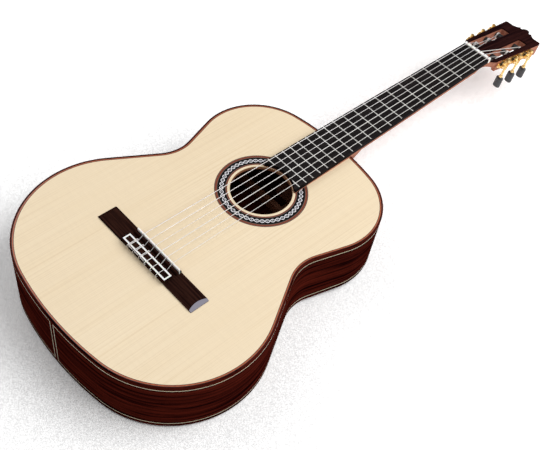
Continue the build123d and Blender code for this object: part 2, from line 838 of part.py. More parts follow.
with BuildPart() as bridge:
    # Wings, domed in section.
    with BuildSketch(bridge_end(bridge_half_length)):
        with BuildLine():
            Line((0, 0), (0, bridge_edge_height))
            crown = ThreePointArc((0, bridge_edge_height), (bridge_width / 2, bridge_wing_height),
                                  (bridge_width, bridge_edge_height))
            Line(crown @ 1, (bridge_width, 0))
            Line((bridge_width, 0), (0, 0))
        make_face()
    extrude(amount=2 * bridge_half_length)
    for side in (-1, 1):
        with BuildSketch(Plane(origin=(0, bridge_front_y, body_top_z), x_dir=(1, 0, 0), z_dir=(0, -1, 0))):
            with BuildLine():
                Polyline(
                    (side * (bridge_half_length - bevel_length), bridge_wing_height),
                    (side * (bridge_half_length + 0.5), 0.5),
                    (side * (bridge_half_length + 0.5), bridge_wing_height + 2),
                    (side * (bridge_half_length - bevel_length), bridge_wing_height + 2),
                    (side * (bridge_half_length - bevel_length), bridge_wing_height),
                )
            make_face()
        extrude(amount=bridge_width, mode=Mode.SUBTRACT)
    # Saddle block, valley and tie block.
    with BuildSketch(bridge_end(tie_block_half_length)):
        with BuildLine():
            Polyline(
                (block_setback, 0),
                (block_setback, saddle_block_height - 1.4),
                (block_setback + 1.2, saddle_block_height),
                (saddle_block_width - 0.6, saddle_block_height),
                (saddle_block_width + 0.6, saddle_block_height - 1.6),
                (saddle_block_width + 1.0, valley_height + 0.6),
                (saddle_block_width + 1.8, valley_height),
                (tie_front - 0.6, valley_height),
                (tie_front, valley_height + 0.6),
                (tie_front, tie_block_height - 0.4),
                (tie_front + 0.4, tie_block_height),
                (bridge_width - 0.6, tie_block_height),
                (bridge_width - 0.2, tie_block_height - 0.6),
                (bridge_width - 0.2, 0),
                (block_setback, 0),
            )
        make_face()
    extrude(amount=2 * tie_block_half_length)
    # Saddle slot, open at both ends.
    with BuildSketch(Plane.XY.offset(body_top_z + saddle_seat)):
        with Locations((0, saddle_y)):
            Rectangle(2 * tie_block_half_length + 2, saddle_thickness)
    extrude(amount=20, mode=Mode.SUBTRACT)
    # Holes that the strings are tied through.
    hole_front = Plane(origin=(0, bridge_front_y, body_top_z + tie_hole_height), x_dir=(1, 0, 0), z_dir=(0, -1, 0))
    with BuildSketch(hole_front.offset(tie_front - 1)):
        with Locations(*[(string_x(number, string_spacing_saddle), 0) for number in range(6)]):
            Circle(tie_hole_radius)
    extrude(amount=tie_block_width + 3, mode=Mode.SUBTRACT)
    # Rebate for the inlay on the tie block.
    with BuildSketch(Plane.XY.offset(body_top_z + tie_block_height)) as inlay_face:
        with Locations((0, bridge_back_y + tie_block_width / 2)):
            Rectangle(2 * tie_block_half_length - 1, tie_block_width - 1.2)
            Rectangle(2 * (tie_block_half_length - inlay_strip) - 1, tie_block_width - 1.2 - 2 * inlay_strip,
                      mode=Mode.SUBTRACT)
    extrude(amount=-inlay_thickness, mode=Mode.SUBTRACT)
write(bridge, "bridge")

with BuildPart() as tie_block_inlay:
    extrude(inlay_face.sketch, amount=-inlay_thickness)
write(tie_block_inlay, "tie_block_inlay")

with BuildPart() as saddle:
    with BuildSketch(Plane.XY.offset(body_top_z + saddle_seat)):
        with Locations((0, saddle_y)):
            Rectangle(2 * tie_block_half_length - 0.6, saddle_thickness)
    extrude(amount=saddle_top_height - saddle_seat)
    fillet(saddle.edges().filter_by(Axis.X).group_by(Axis.Z)[-1], saddle_rounding)
    fillet(saddle.faces().sort_by(Axis.Z)[-1].edges().filter_by(Axis.Y), 1.0)
write(saddle, "saddle")

# ---------------------------------------------------------------- tuners
rim_gap = 0.6
plate_end_radius = 5.0
plate_end_offset = 48.0
screw_head_radius = 2.2
screw_head_height = 1.1
screw_slot_width = 0.6
ear_half_width = 3.1
ear_reach = mesh_plane - plate_thickness
gear_low = mesh_plane - gear_thickness / 2
gear_high = mesh_plane + gear_thickness / 2
gear_bore = 2.0
gear_screw_radius = 2.8
gear_screw_height = 1.5
thread_base_half = 0.62
thread_tip_half = 0.3
tooth_base_half = 0.62
tooth_tip_half = 0.3
thread_middle = (worm_core_radius + worm_outer_radius) / 2
worm_half_length = 4.7
cap_radius = 2.8
collar_radius = 3.1
side_gap = 0.1
button_hole_depth = 8.0


for side, name in ((1, "tuner_plate_treble"), (-1, "tuner_plate_bass")):
    with BuildPart() as tuner_plate:
        with BuildSketch(tuner_plane(side, plate_station)):
            RectangleRounded(2 * plate_end_offset - 6, 2 * plate_half_height, 2.5)
            with Locations((-plate_end_offset, 0), (plate_end_offset, 0)):
                Circle(plate_end_radius)
            with Locations(*screw_places(side)):
                Circle(screw_shank_radius, mode=Mode.SUBTRACT)
        extrude(amount=plate_thickness)
        for along in [place[1] for place in tuner_places if place[0] == side]:
            disc(tuner_plane(side, along), roller_neck_radius + shaft_clearance, -1, plate_thickness + 1,
                 Mode.SUBTRACT)
            # A pair of ears carries each worm.
            for low in (-ear_outer, ear_inner):
                with BuildSketch(worm_plane(side, along).offset(low)) as ear:
                    Circle(ear_half_width)
                    with Locations((-side * ear_reach / 2, 0)):
                        Rectangle(ear_reach, 2 * ear_half_width)
                    Circle(worm_shaft_radius + shaft_clearance, mode=Mode.SUBTRACT)
                extrude(ear.sketch, amount=ear_outer - ear_inner)
    write(tuner_plate, name)

with BuildPart() as plate_screws:
    for side in (1, -1):
        plane = tuner_plane(side, plate_station)
        with BuildSketch(plane.offset(plate_thickness)):
            with Locations(*screw_places(side)):
                Circle(screw_head_radius)
        extrude(amount=screw_head_height)
        with BuildSketch(plane.offset(plate_thickness - screw_length)):
            with Locations(*screw_places(side)):
                Circle(screw_shank_radius)
        extrude(amount=screw_length)
        with BuildSketch(plane.offset(plate_thickness + screw_head_height / 2)):
            with Locations(*screw_places(side)):
                Rectangle(2 * screw_head_radius, screw_slot_width)
        extrude(amount=screw_head_height, mode=Mode.SUBTRACT)
write(plate_screws, "plate_screws")


def thread_profile(path, plane):
    """Section of a worm's thread, square to its helix where it starts."""
    start = path @ 0
    middle = plane.origin + plane.z_dir * (start - plane.origin).dot(plane.z_dir)
    radial = (start - middle).normalized()
    with BuildSketch(Plane(origin=start, x_dir=radial, z_dir=path % 0)) as section:
        Polygon(
            (worm_core_radius - 0.3 - thread_middle, thread_base_half),
            (worm_core_radius - 0.3 - thread_middle, -thread_base_half),
            (worm_outer_radius - thread_middle, -thread_tip_half),
            (worm_outer_radius - thread_middle, thread_tip_half),
            align=None,
        )
    return section.sketch


for number, (side, along) in enumerate(tuner_places, 1):
    axis_plane = worm_plane(side, along)
    # Half way along, a turn of the thread stands between two of the gear's teeth.
    thread_start = -worm_pitch * (worm_turns / 2)
    with BuildPart() as worm_shaft:
        disc(axis_plane, worm_core_radius, -worm_half_length, worm_half_length)
        disc(axis_plane, worm_shaft_radius, button_top - button_hole_depth, ear_outer + side_gap + 1.2)
        disc(axis_plane, collar_radius, worm_half_length, ear_inner - side_gap)
        disc(axis_plane, collar_radius, side_gap - ear_inner, -worm_half_length)
        disc(axis_plane, cap_radius, ear_outer + side_gap, ear_outer + side_gap + 1.2)
        disc(axis_plane, collar_radius, -ear_outer - side_gap - 1.6, -ear_outer - side_gap)
        disc(axis_plane, collar_radius, button_top, button_top + 2.4)
        disc(axis_plane, (collar_radius + worm_shaft_radius) / 2, button_top + 2.4, button_top + 4.0)
        with BuildLine():
            thread_path = Helix(worm_pitch, worm_pitch * worm_turns, thread_middle,
                                center=axis_plane.origin + axis_plane.z_dir * thread_start,
                                direction=axis_plane.z_dir)
        sweep(thread_profile(thread_path, axis_plane), path=thread_path.edge(), is_frenet=True)
    write(worm_shaft, f"worm_shaft_{number}")

    with BuildPart() as button:
        with BuildSketch(axis_plane.offset(button_top)):
            Ellipse(*button_radii)
        extrude(amount=-button_length)
        fillet(button.edges(), 2.6)
        disc(axis_plane, worm_shaft_radius, button_top - button_hole_depth, button_top, Mode.SUBTRACT)
    write(button, f"button_{number}")

    station = tuner_plane(side, along)
    rim = wall_depth(along, slot_outer)
    core = wall_depth(along, slot_inner)
    with BuildPart() as roller:
        disc(station, gear_bore, gear_low, gear_high)
        disc(station, roller_neck_radius, -rim - rim_gap, gear_low)
        disc(station, roller_radius, rim_gap - core, -rim - rim_gap)
        disc(station, roller_tip_radius, -core - tip_hole_depth + 0.5, rim_gap - core)
    write(roller, f"roller_{number}")

    with BuildPart() as gear:
        with BuildSketch(station.offset(gear_low)):
            Circle(gear_root_radius)
            # A gap faces the worm, and a turn of its thread stands in it.
            with PolarLocations(0, gear_teeth, start_angle=180 / gear_teeth):
                Polygon(
                    (gear_root_radius - 0.4, tooth_base_half), (gear_root_radius - 0.4, -tooth_base_half),
                    (gear_tip_radius, -tooth_tip_half), (gear_tip_radius, tooth_tip_half), align=None,
                )
            Circle(gear_bore, mode=Mode.SUBTRACT)
        extrude(amount=gear_thickness)
        disc(station, gear_screw_radius, gear_high, gear_high + gear_screw_height)
        with BuildSketch(station.offset(gear_high + gear_screw_height / 2)):
            Rectangle(2 * gear_screw_radius, screw_slot_width)
        extrude(amount=gear_screw_height, mode=Mode.SUBTRACT)
    write(gear, f"gear_{number}")

# ---------------------------------------------------------------- strings
string_gap = 0.1
loop_radius = 1.8
loop_back = 2.4
loop_spacing = 1.7
hairpin_radius = 0.8
tail_reach = 8.0
tail_bend = 1.0
hole_bend = 1.5
saddle_rest = 0.75
nut_rest = 2.8
nut_bend = 5.0
lead_in = 3.0
lead_bend = 12.0
winding_half_turns = 7
winding_pitch_gap = 0.08
# How far from the head's centre line each string meets its roller.
roller_marks = (21.0, 18.5, 22.0, 22.0, 18.5, 21.0)
bass_strings = (3, 4, 5)


def string_route(number, diameter):
    """Corners of a string and the bend at each: its tie at the bridge, the saddle, the nut."""
    bridge_x = string_x(number, string_spacing_saddle)
    loop_z = body_top_z + tie_block_height + diameter / 2 + string_gap
    hole_z = body_top_z + tie_hole_height
    tie_y = bridge_front_y - tie_front
    loop_y = bridge_back_y - loop_back
    if number in bass_strings:
        # The tied end comes back across the block beside the string, and turns along its edge.
        beside = bridge_x + loop_spacing
        tail_y_place = bridge_back_y - 1.2
        tie = [
            ((beside + tail_reach, tail_y_place, loop_z), None),
            ((beside, tail_y_place, loop_z), tail_bend),
            ((beside, tie_y + 1.2, loop_z), hairpin_radius),
            ((bridge_x, tie_y + 1.2, loop_z), hairpin_radius),
        ]
    else:
        tie = [((bridge_x, tie_y - 0.4, loop_z), None)]
    nut_place = nut_point + board_along * nut_rest
    nut_place += board_normal * (string_nut_height + diameter / 2 + string_gap)
    saddle_z = body_top_z + saddle_top_height + diameter / 2 + string_gap
    return tie + [
        ((bridge_x, loop_y, loop_z), loop_radius),
        ((bridge_x, loop_y, hole_z), loop_radius),
        ((bridge_x, tie_y + 1.6, hole_z), hole_bend),
        ((bridge_x, saddle_y - saddle_rest, saddle_z), saddle_rounding + diameter / 2 + string_gap),
        (nut_place + Vector(string_x(number, string_spacing_nut), 0, 0), nut_bend),
    ]


for number, diameter in enumerate(string_diameters):
    side, along = tuner_places[number]
    corners = [Vector(corner) for corner, bend in string_route(number, diameter)]
    bends = [bend for corner, bend in string_route(number, diameter)[1:]]
    winding_radius = roller_radius + winding_gap + diameter / 2
    centre = tuner_plane(side, along).origin - outward(side) * wall_depth(along, roller_marks[number])
    # The string leaves the nut in line with the top of its winding.
    reach = corners[-1] - centre
    forward = reach.dot(side_along(side))
    upward = reach.dot(head_normal)
    meeting_angle = atan2(upward, forward) - acos(winding_radius / sqrt(forward**2 + upward**2))
    radial = side_along(side) * cos(meeting_angle) + head_normal * sin(meeting_angle)
    across = outward(side).cross(radial) * -side
    meeting = centre + radial * winding_radius
    half_pitch = (diameter + winding_pitch_gap) / 2
    with BuildPart() as string:
        with BuildLine() as route:
            FilletPolyline(*corners, meeting - across * lead_in, meeting, radius=[*bends, lead_bend])
            # The winding is a chain of half circles, each leaning so that the turns lie side by side.
            for half in range(winding_half_turns):
                turn = 1 if half % 2 == 0 else -1
                start = meeting if half == 0 else finish
                finish = start - radial * (2 * turn * winding_radius) + outward(side) * half_pitch
                bulge = (finish - start).length / 2
                ThreePointArc(start, (start + finish) / 2 + across * (turn * bulge), finish)
        with BuildSketch(Plane(origin=route.line @ 0, z_dir=route.line % 0)):
            Circle(diameter / 2)
        sweep(path=route.line)
    write(string, f"string_{number + 1}")
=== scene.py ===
"""Looks of a classical guitar lying on its back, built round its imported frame.

Metres, +X the treble side, +Y towards the head, +Z out of the soundboard.
"""

import math

import bmesh
import bpy
from mathutils import Matrix, Vector


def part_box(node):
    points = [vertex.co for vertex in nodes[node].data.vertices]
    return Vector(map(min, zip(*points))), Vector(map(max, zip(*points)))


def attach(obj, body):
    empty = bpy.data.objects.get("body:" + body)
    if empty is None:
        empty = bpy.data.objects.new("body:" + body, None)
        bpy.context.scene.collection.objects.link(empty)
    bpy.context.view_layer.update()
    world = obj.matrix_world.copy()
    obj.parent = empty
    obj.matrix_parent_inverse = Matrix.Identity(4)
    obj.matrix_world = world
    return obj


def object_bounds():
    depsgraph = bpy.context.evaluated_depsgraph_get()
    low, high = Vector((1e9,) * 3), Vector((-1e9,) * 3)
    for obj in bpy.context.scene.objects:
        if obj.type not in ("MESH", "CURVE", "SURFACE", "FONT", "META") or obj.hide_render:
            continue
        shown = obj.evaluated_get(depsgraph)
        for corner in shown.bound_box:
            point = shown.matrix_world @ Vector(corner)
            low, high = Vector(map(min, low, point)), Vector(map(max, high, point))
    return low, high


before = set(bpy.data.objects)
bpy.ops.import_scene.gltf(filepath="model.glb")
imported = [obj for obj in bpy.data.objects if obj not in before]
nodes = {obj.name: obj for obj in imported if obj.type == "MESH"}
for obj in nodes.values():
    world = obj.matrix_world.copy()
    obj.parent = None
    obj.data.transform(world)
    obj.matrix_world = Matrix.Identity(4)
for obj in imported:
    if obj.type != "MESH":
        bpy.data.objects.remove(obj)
cad_low, cad_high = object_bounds()


# ---------------------------------------------------------------- places read from the frame
def middle(low, high):
    return (low + high) / 2


band_low, band_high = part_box("rosette_band")
top_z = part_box("soundboard")[1].z
hole_centre = middle(band_low, band_high)
string_numbers = range(1, 7)
nylon_strings = (1, 2, 3)


# ---------------------------------------------------------------- material tools
class Surface:
    """A Principled material and short calls for the nodes that colour and texture it."""

    def __init__(self, name):
        self.material = bpy.data.materials.new(name)
        self.material.use_nodes = True
        self.tree = self.material.node_tree
        self.shader = self.tree.nodes["Principled BSDF"]
        place = self.tree.nodes.new("ShaderNodeTexCoord")
        self.position = place.outputs["Object"]
        parts = self.tree.nodes.new("ShaderNodeSeparateXYZ")
        self.tree.links.new(self.position, parts.inputs[0])
        self.x, self.y, self.z = parts.outputs

    def put(self, value, socket):
        """Links a socket, or sets a plain value."""
        if isinstance(value, bpy.types.NodeSocket):
            self.tree.links.new(value, socket)
        else:
            socket.default_value = value

    def set(self, **values):
        """Sets or links the shader's inputs, named in lower case with underscores."""
        for key, value in values.items():
            name = key.replace("_", " ")
            socket = next(s for s in self.shader.inputs if s.name.lower() == name)
            self.put(value, socket)
        return self

    def math(self, operation, *values, clamp=False):
        node = self.tree.nodes.new("ShaderNodeMath")
        node.operation = operation
        node.use_clamp = clamp
        for value, socket in zip(values, node.inputs):
            self.put(value, socket)
        return node.outputs[0]

    def vector(self, x, y, z):
        node = self.tree.nodes.new("ShaderNodeCombineXYZ")
        for value, socket in zip((x, y, z), node.inputs):
            self.put(value, socket)
        return node.outputs[0]

    def stretched(self, x, y, z):
        """The position, scaled differently along each axis."""
        node = self.tree.nodes.new("ShaderNodeVectorMath")
        node.operation = "MULTIPLY"
        self.put(self.position, node.inputs[0])
        node.inputs[1].default_value = (x, y, z)
        return node.outputs[0]

    def noise(self, vector, scale=1.0, detail=3.0, roughness=0.5, distortion=0.0):
        node = self.tree.nodes.new("ShaderNodeTexNoise")
        self.put(vector, node.inputs["Vector"])
        node.inputs["Scale"].default_value = scale
        node.inputs["Detail"].default_value = detail
        node.inputs["Roughness"].default_value = roughness
        node.inputs["Distortion"].default_value = distortion
        return node.outputs["Fac"]

    def ramp(self, value, *stops, smooth=False):
        """Colours at places along a value from 0 to 1: (place, (r, g, b)) or (place, grey)."""
        node = self.tree.nodes.new("ShaderNodeValToRGB")
        node.color_ramp.interpolation = "EASE" if smooth else "LINEAR"
        elements = node.color_ramp.elements
        while len(elements) < len(stops):
            elements.new(0.5)
        for element, (place, colour) in zip(elements, stops):
            element.position = place
            rgb = colour if isinstance(colour, tuple) else (colour,) * 3
            element.color = (*rgb, 1.0)
        self.put(value, node.inputs[0])
        return node.outputs[0]

    def blend(self, factor, first, second, mode="MIX"):
        node = self.tree.nodes.new("ShaderNodeMix")
        node.data_type = "RGBA"
        node.blend_type = mode
        self.put(factor, node.inputs[0])
        for value, socket in ((first, node.inputs[6]), (second, node.inputs[7])):
            self.put((*value, 1.0) if isinstance(value, tuple) else value, socket)
        return node.outputs[2]

    def facing(self):
        """The x, y and z of the surface's outward direction."""
        facing = self.tree.nodes.new("ShaderNodeNewGeometry")
        parts = self.tree.nodes.new("ShaderNodeSeparateXYZ")
        self.put(facing.outputs["Normal"], parts.inputs[0])
        return parts.outputs

    def bump(self, height, distance, strength=1.0):
        node = self.tree.nodes.new("ShaderNodeBump")
        node.inputs["Strength"].default_value = strength
        node.inputs["Distance"].default_value = distance
        self.put(height, node.inputs["Height"])
        self.put(node.outputs["Normal"], self.shader.inputs["Normal"])
        return self

    def band(self, value, centre, half_width, soft):
        """1 where a value is within half_width of a centre, falling to 0 over soft."""
        away = self.math("ABSOLUTE", self.math("SUBTRACT", value, centre))
        edge = self.math("DIVIDE", self.math("SUBTRACT", half_width + soft, away), soft)
        return self.math("MINIMUM", self.math("MAXIMUM", edge, 0.0), 1.0)


# ---------------------------------------------------------------- woods
GRAIN_WANDER = 0.004
SPRUCE_LATE = (0.83, 0.67, 0.46)
SPRUCE_MIDDLE = (0.90, 0.75, 0.535)
SPRUCE_EARLY = (0.92, 0.775, 0.56)
SPRUCE_END_GRAIN = (0.42, 0.20, 0.085)
ROSE_LIGHT = (0.085, 0.011, 0.006)
ROSE_DARK = (0.006, 0.0008, 0.001)
ROSE_PORE = (0.004, 0.001, 0.001)
# Grey-lilac of a painted sheen on the bridge's treble slope, standing in for a reflection.
BRIDGE_SLOPE_PAINTED_SHEEN = (0.26, 0.25, 0.30)


def spruce():
    """Pale spruce with close straight grain, broad soft bands and faint cross silk."""
    s = Surface("spruce_top")
    # The two halves mirror each other, and each line of grain wanders by a few millimetres.
    across = s.math("ABSOLUTE", s.x)
    drift = s.noise(s.stretched(6, 2, 6), detail=2)
    wander = s.math("ADD", across, s.math("MULTIPLY", drift, GRAIN_WANDER))

    def along_grain(per_metre_across, per_metre_along, detail):
        over = s.math("MULTIPLY", wander, per_metre_across)
        along = s.math("MULTIPLY", s.y, per_metre_along)
        return s.noise(s.vector(over, along, 0.0), detail=detail)

    fine = along_grain(1150, 3, 2)
    broad = along_grain(60, 1.2, 3)
    silk = s.noise(s.stretched(45, 260, 20), detail=2, roughness=0.5)
    patch = s.noise(s.stretched(5, 3, 5), detail=2)
    grain = s.ramp(fine, (0.30, SPRUCE_LATE), (0.50, SPRUCE_MIDDLE), (0.72, SPRUCE_EARLY))
    tint = s.ramp(broad, (0.3, (0.985, 0.975, 0.955)), (0.7, (1.0, 1.0, 1.0)))
    sheen = s.ramp(silk, (0.35, 0.98), (0.62, 1.0))
    shade = s.ramp(patch, (0.3, (0.97, 0.955, 0.93)), (0.7, (1.0, 1.0, 1.0)))
    colour = s.blend(1.0, grain, tint, "MULTIPLY")
    colour = s.blend(1.0, colour, sheen, "MULTIPLY")
    colour = s.blend(1.0, colour, shade, "MULTIPLY")
    # The cut edge of the soundhole is end grain, and darker.
    colour = s.blend(s.math("LESS_THAN", s.facing()[2], 0.5), colour, SPRUCE_END_GRAIN)
    s.set(base_color=colour, roughness=0.45, specular_ior_level=0.35)
    s.set(coat_weight=0.2, coat_roughness=0.2)
    return s.bump(fine, 0.00006, 0.35)


def streaked_wood(name, stretch, light, dark, pore, roughness, coat, pore_stretch):
    """A dark wood with long streaks and short open pores."""
    s = Surface(name)
    warp = s.noise(s.stretched(7, 7, 7), detail=2)
    offset = s.math("MULTIPLY", warp, 1.6)
    stretched = s.stretched(*stretch)
    node = s.tree.nodes.new("ShaderNodeVectorMath")
    node.operation = "ADD"
    s.put(stretched, node.inputs[0])
    s.put(s.vector(offset, offset, offset), node.inputs[1])
    streak = s.noise(node.outputs[0], detail=5, roughness=0.62, distortion=0.4)
    middling = tuple((a + b) / 2 for a, b in zip(light, dark))
    colour = s.ramp(streak, (0.38, dark), (0.50, middling), (0.68, light))
    pores = s.noise(s.stretched(*pore_stretch), detail=2, roughness=0.5)
    holes = s.ramp(pores, (0.30, 1.0), (0.40, 0.0))
    colour = s.blend(holes, colour, pore)
    s.set(base_color=colour, roughness=s.ramp(pores, (0.3, roughness + 0.2), (0.5, roughness)))
    s.set(coat_weight=coat, coat_roughness=0.12, specular_ior_level=0.0)
    return s.bump(pores, 0.00006, 0.5)


def rosewood(name, stretch, pore_stretch, light=ROSE_LIGHT, dark=ROSE_DARK):
    return streaked_wood(name, stretch, light, dark, ROSE_PORE, 0.34, 0.0, pore_stretch)


def mahogany(name, stretch, pore_stretch):
    light, dark, pore = (0.52, 0.23, 0.15), (0.33, 0.12, 0.075), (0.15, 0.05, 0.03)
    return streaked_wood(name, stretch, light, dark, pore, 0.36, 0.1, pore_stretch)


def ebony():
    light, dark, pore = (0.022, 0.018, 0.018), (0.008, 0.007, 0.0075), (0.003, 0.003, 0.003)
    return streaked_wood("ebony_board", (900, 10, 60), light, dark, pore, 0.42, 0.04, (2600, 90, 300))


def cedar():
    """Unfinished red-brown cedar, for the wood inside the body."""
    s = Surface("cedar_inside")
    grain = s.noise(s.stretched(420, 6, 420), detail=3)
    colour = s.ramp(grain, (0.3, (0.26, 0.09, 0.045)), (0.7, (0.42, 0.17, 0.09)))
    s.set(base_color=colour, roughness=0.7)
    return s.bump(grain, 0.0001, 0.4)


# ---------------------------------------------------------------- rosette
def polar(s):
    """Distance from the soundhole's centre, and the angle round it."""
    x = s.math("SUBTRACT", s.x, hole_centre.x)
    y = s.math("SUBTRACT", s.y, hole_centre.y)
    radius = s.math("SQRT", s.math("ADD", s.math("MULTIPLY", x, x), s.math("MULTIPLY", y, y)))
    return radius, s.math("ARCTAN2", y, x)


def inlay_gloss(s, colour):
    """The rosette's dull finish."""
    s.set(base_color=colour, roughness=0.4, specular_ior_level=0.08)
    return s.set(coat_weight=0.0, coat_roughness=0.12)


def rosette_mosaic():
    """Black band with a twisted chain of pale strands, edged by fine dark lines."""
    s = Surface("rosette_mosaic")
    radius, angle = polar(s)
    band_radius = (band_high.x - band_low.x) / 2
    middle_radius = band_radius - 0.0051
    # Each strand swings this far from the middle, is half this wide, and waves this often.
    swing, strand, waves = 0.0023, 0.00050, 24.0
    line_offset = 0.0043
    wave = s.math("SINE", s.math("MULTIPLY", angle, waves))
    up = s.math("ADD", s.math("MULTIPLY", wave, swing), middle_radius)
    down = s.math("SUBTRACT", middle_radius, s.math("MULTIPLY", wave, swing))
    first = s.band(s.math("SUBTRACT", radius, up), 0.0, strand, 0.0002)
    second = s.band(s.math("SUBTRACT", radius, down), 0.0, strand, 0.0002)
    chain = s.math("MAXIMUM", first, second)
    # A small pearl sits in each loop.
    loops = s.math("ABSOLUTE", wave)
    widest = s.math("GREATER_THAN", loops, 0.96)
    pearl = s.math("MULTIPLY", widest, s.band(radius, middle_radius, 0.0003, 0.0002))
    pale = s.math("MAXIMUM", chain, pearl)
    edges = s.math(
        "MAXIMUM",
        s.band(radius, middle_radius + line_offset, 0.00022, 0.0001),
        s.band(radius, middle_radius - line_offset, 0.00022, 0.0001),
    )
    tiles = s.noise(s.stretched(900, 900, 900), detail=1)
    ground = s.ramp(tiles, (0.35, (0.003, 0.003, 0.003)), (0.7, (0.010, 0.008, 0.008)))
    strands = s.ramp(tiles, (0.3, (0.62, 0.61, 0.66)), (0.6, (0.92, 0.91, 0.94)))
    colour = s.blend(pale, ground, strands)
    colour = s.blend(edges, colour, (0.012, 0.010, 0.010))
    return inlay_gloss(s, colour)


def rosette_rings():
    """Red-brown wood rings, each between a dark and a light line."""
    s = Surface("rosette_rings")
    radius, angle = polar(s)
    low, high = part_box("rosette_rings")
    outer = (high.x - low.x) / 2
    round_grain = s.vector(s.math("MULTIPLY", radius, 2200), s.math("MULTIPLY", angle, 14), 0.0)
    grain = s.noise(round_grain, detail=3)
    wood = s.ramp(grain, (0.3, (0.13, 0.030, 0.016)), (0.7, (0.27, 0.075, 0.040)))
    dark = (0.008, 0.006, 0.007)
    pale = (0.16, 0.15, 0.14)
    # Each line's distance inside the outer edge, its half width and its colour.
    lines = (
        (0.0002, 0.00025, dark), (0.0009, 0.00018, pale),
        (0.0040, 0.00018, pale), (0.0048, 0.0005, dark),
        (0.0150, 0.0004, dark), (0.0156, 0.00015, pale),
        (0.0177, 0.00018, pale),
    )
    colour = wood
    for inside, half, shade in lines:
        colour = s.blend(s.band(radius, outer - inside, half, 0.0001), colour, shade)
    return inlay_gloss(s, colour)


# ---------------------------------------------------------------- bone, metal, plastic and string
WINDING_PITCH = 0.0003


def bone():
    """Slightly cloudy white bone."""
    s = Surface("bone_white")
    cloud = s.noise(s.stretched(60, 200, 200), detail=4)
    white = s.ramp(cloud, (0.35, (0.90, 0.88, 0.83)), (0.65, (0.98, 0.97, 0.95)))
    s.set(base_color=white, roughness=0.3)
    s.set(subsurface_weight=0.12, subsurface_scale=0.002, coat_weight=0.2)
    return s


def metal(name, bright, dull, roughness):
    """Polished metal, a little duller in cloudy patches, with fine scratches."""
    s = Surface(name)
    cloud = s.noise(s.stretched(160, 160, 160), detail=4)
    scratch = s.noise(s.stretched(900, 900, 5000), detail=2)
    s.set(base_color=s.ramp(cloud, (0.3, dull), (0.6, bright)), metallic=1.0)
    s.set(roughness=s.ramp(cloud, (0.3, roughness + 0.14), (0.65, roughness)))
    return s.bump(scratch, 0.00002, 0.25)


def plastic(name, colour, roughness, coat=0.0):
    """A plain colour with fine specks."""
    s = Surface(name)
    speck = s.noise(s.stretched(700, 700, 700), detail=3)
    lighter = tuple(c * 1.6 + 0.004 for c in colour)
    s.set(base_color=s.ramp(speck, (0.35, colour), (0.7, lighter)), coat_weight=coat)
    s.set(roughness=s.ramp(speck, (0.3, roughness), (0.7, roughness + 0.08)))
    return s.bump(speck, 0.00003, 0.3)


def nylon():
    """Clear nylon, seen mostly as a bright line."""
    s = Surface("nylon_string")
    cloud = s.noise(s.stretched(300, 40, 300), detail=2)
    pale = s.ramp(cloud, (0.3, (0.88, 0.85, 0.80)), (0.7, (0.97, 0.95, 0.92)))
    s.set(base_color=pale, roughness=0.22)
    s.set(transmission_weight=0.12, ior=1.53, coat_weight=0.2)
    return s


def wound():
    """Silver-plated winding, in close turns along the string."""
    s = Surface("wound_string")
    turns = s.math("SINE", s.math("MULTIPLY", s.y, 2 * math.pi / WINDING_PITCH))
    tarnish = s.noise(s.stretched(40, 14, 40), detail=3)
    silver_colour = s.ramp(tarnish, (0.3, (0.68, 0.64, 0.62)), (0.7, (0.90, 0.88, 0.88)))
    s.set(base_color=silver_colour, metallic=0.6, roughness=0.4)
    return s.bump(turns, 0.00003, 0.3)


def light_line():
    """Pale maple, for inlaid lines."""
    s = Surface("maple_line")
    grain = s.noise(s.stretched(60, 60, 900), detail=2)
    maple = s.ramp(grain, (0.3, (0.42, 0.36, 0.20)), (0.7, (0.62, 0.55, 0.34)))
    s.set(base_color=maple, roughness=0.35)
    s.set(coat_weight=0.6, coat_roughness=0.1)
    return s


def purfling():
    """Light line on the sides, and a red-brown line on the soundboard's edge."""
    s = light_line()
    grain = s.noise(s.stretched(300, 300, 900), detail=2)
    orange = s.ramp(grain, (0.3, (0.34, 0.065, 0.018)), (0.7, (0.48, 0.12, 0.038)))
    base = s.shader.inputs["Base Color"].links[0].from_socket
    s.set(base_color=s.blend(s.math("GREATER_THAN", s.facing()[2], 0.9), base, orange))
    return s


# The sides' and bindings' grain runs level, and the back's and neck's along Y.
side_rose = rosewood("rosewood_sides", (5, 5, 240), (60, 60, 2600))
back_rose = rosewood("rosewood_back", (240, 5, 5), (2600, 60, 60))
bridge_rose = rosewood("rosewood_bridge", (8, 420, 420), (90, 2600, 2600),
                       light=(0.040, 0.015, 0.010), dark=(0.008, 0.003, 0.003))
# The bridge's sloping treble end is lighter: where it faces +X it gets a painted grey-lilac sheen, a
# painted reflection over the dark wood.
painted_slope_sheen = bridge_rose.band(bridge_rose.facing()[0], 0.45, 0.25, 0.05)
dark_wood = bridge_rose.shader.inputs["Base Color"].links[0].from_socket
bridge_rose.set(base_color=bridge_rose.blend(painted_slope_sheen, dark_wood, BRIDGE_SLOPE_PAINTED_SHEEN))
head_rose = rosewood("rosewood_head", (380, 7, 7), (2600, 70, 70),
                     light=(0.032, 0.010, 0.009), dark=(0.006, 0.002, 0.003))
neck_wood = mahogany("mahogany_neck", (200, 7, 200), (1900, 60, 1900))
gold = metal("gold_plate", (0.95, 0.70, 0.32), (0.78, 0.50, 0.18), 0.2)

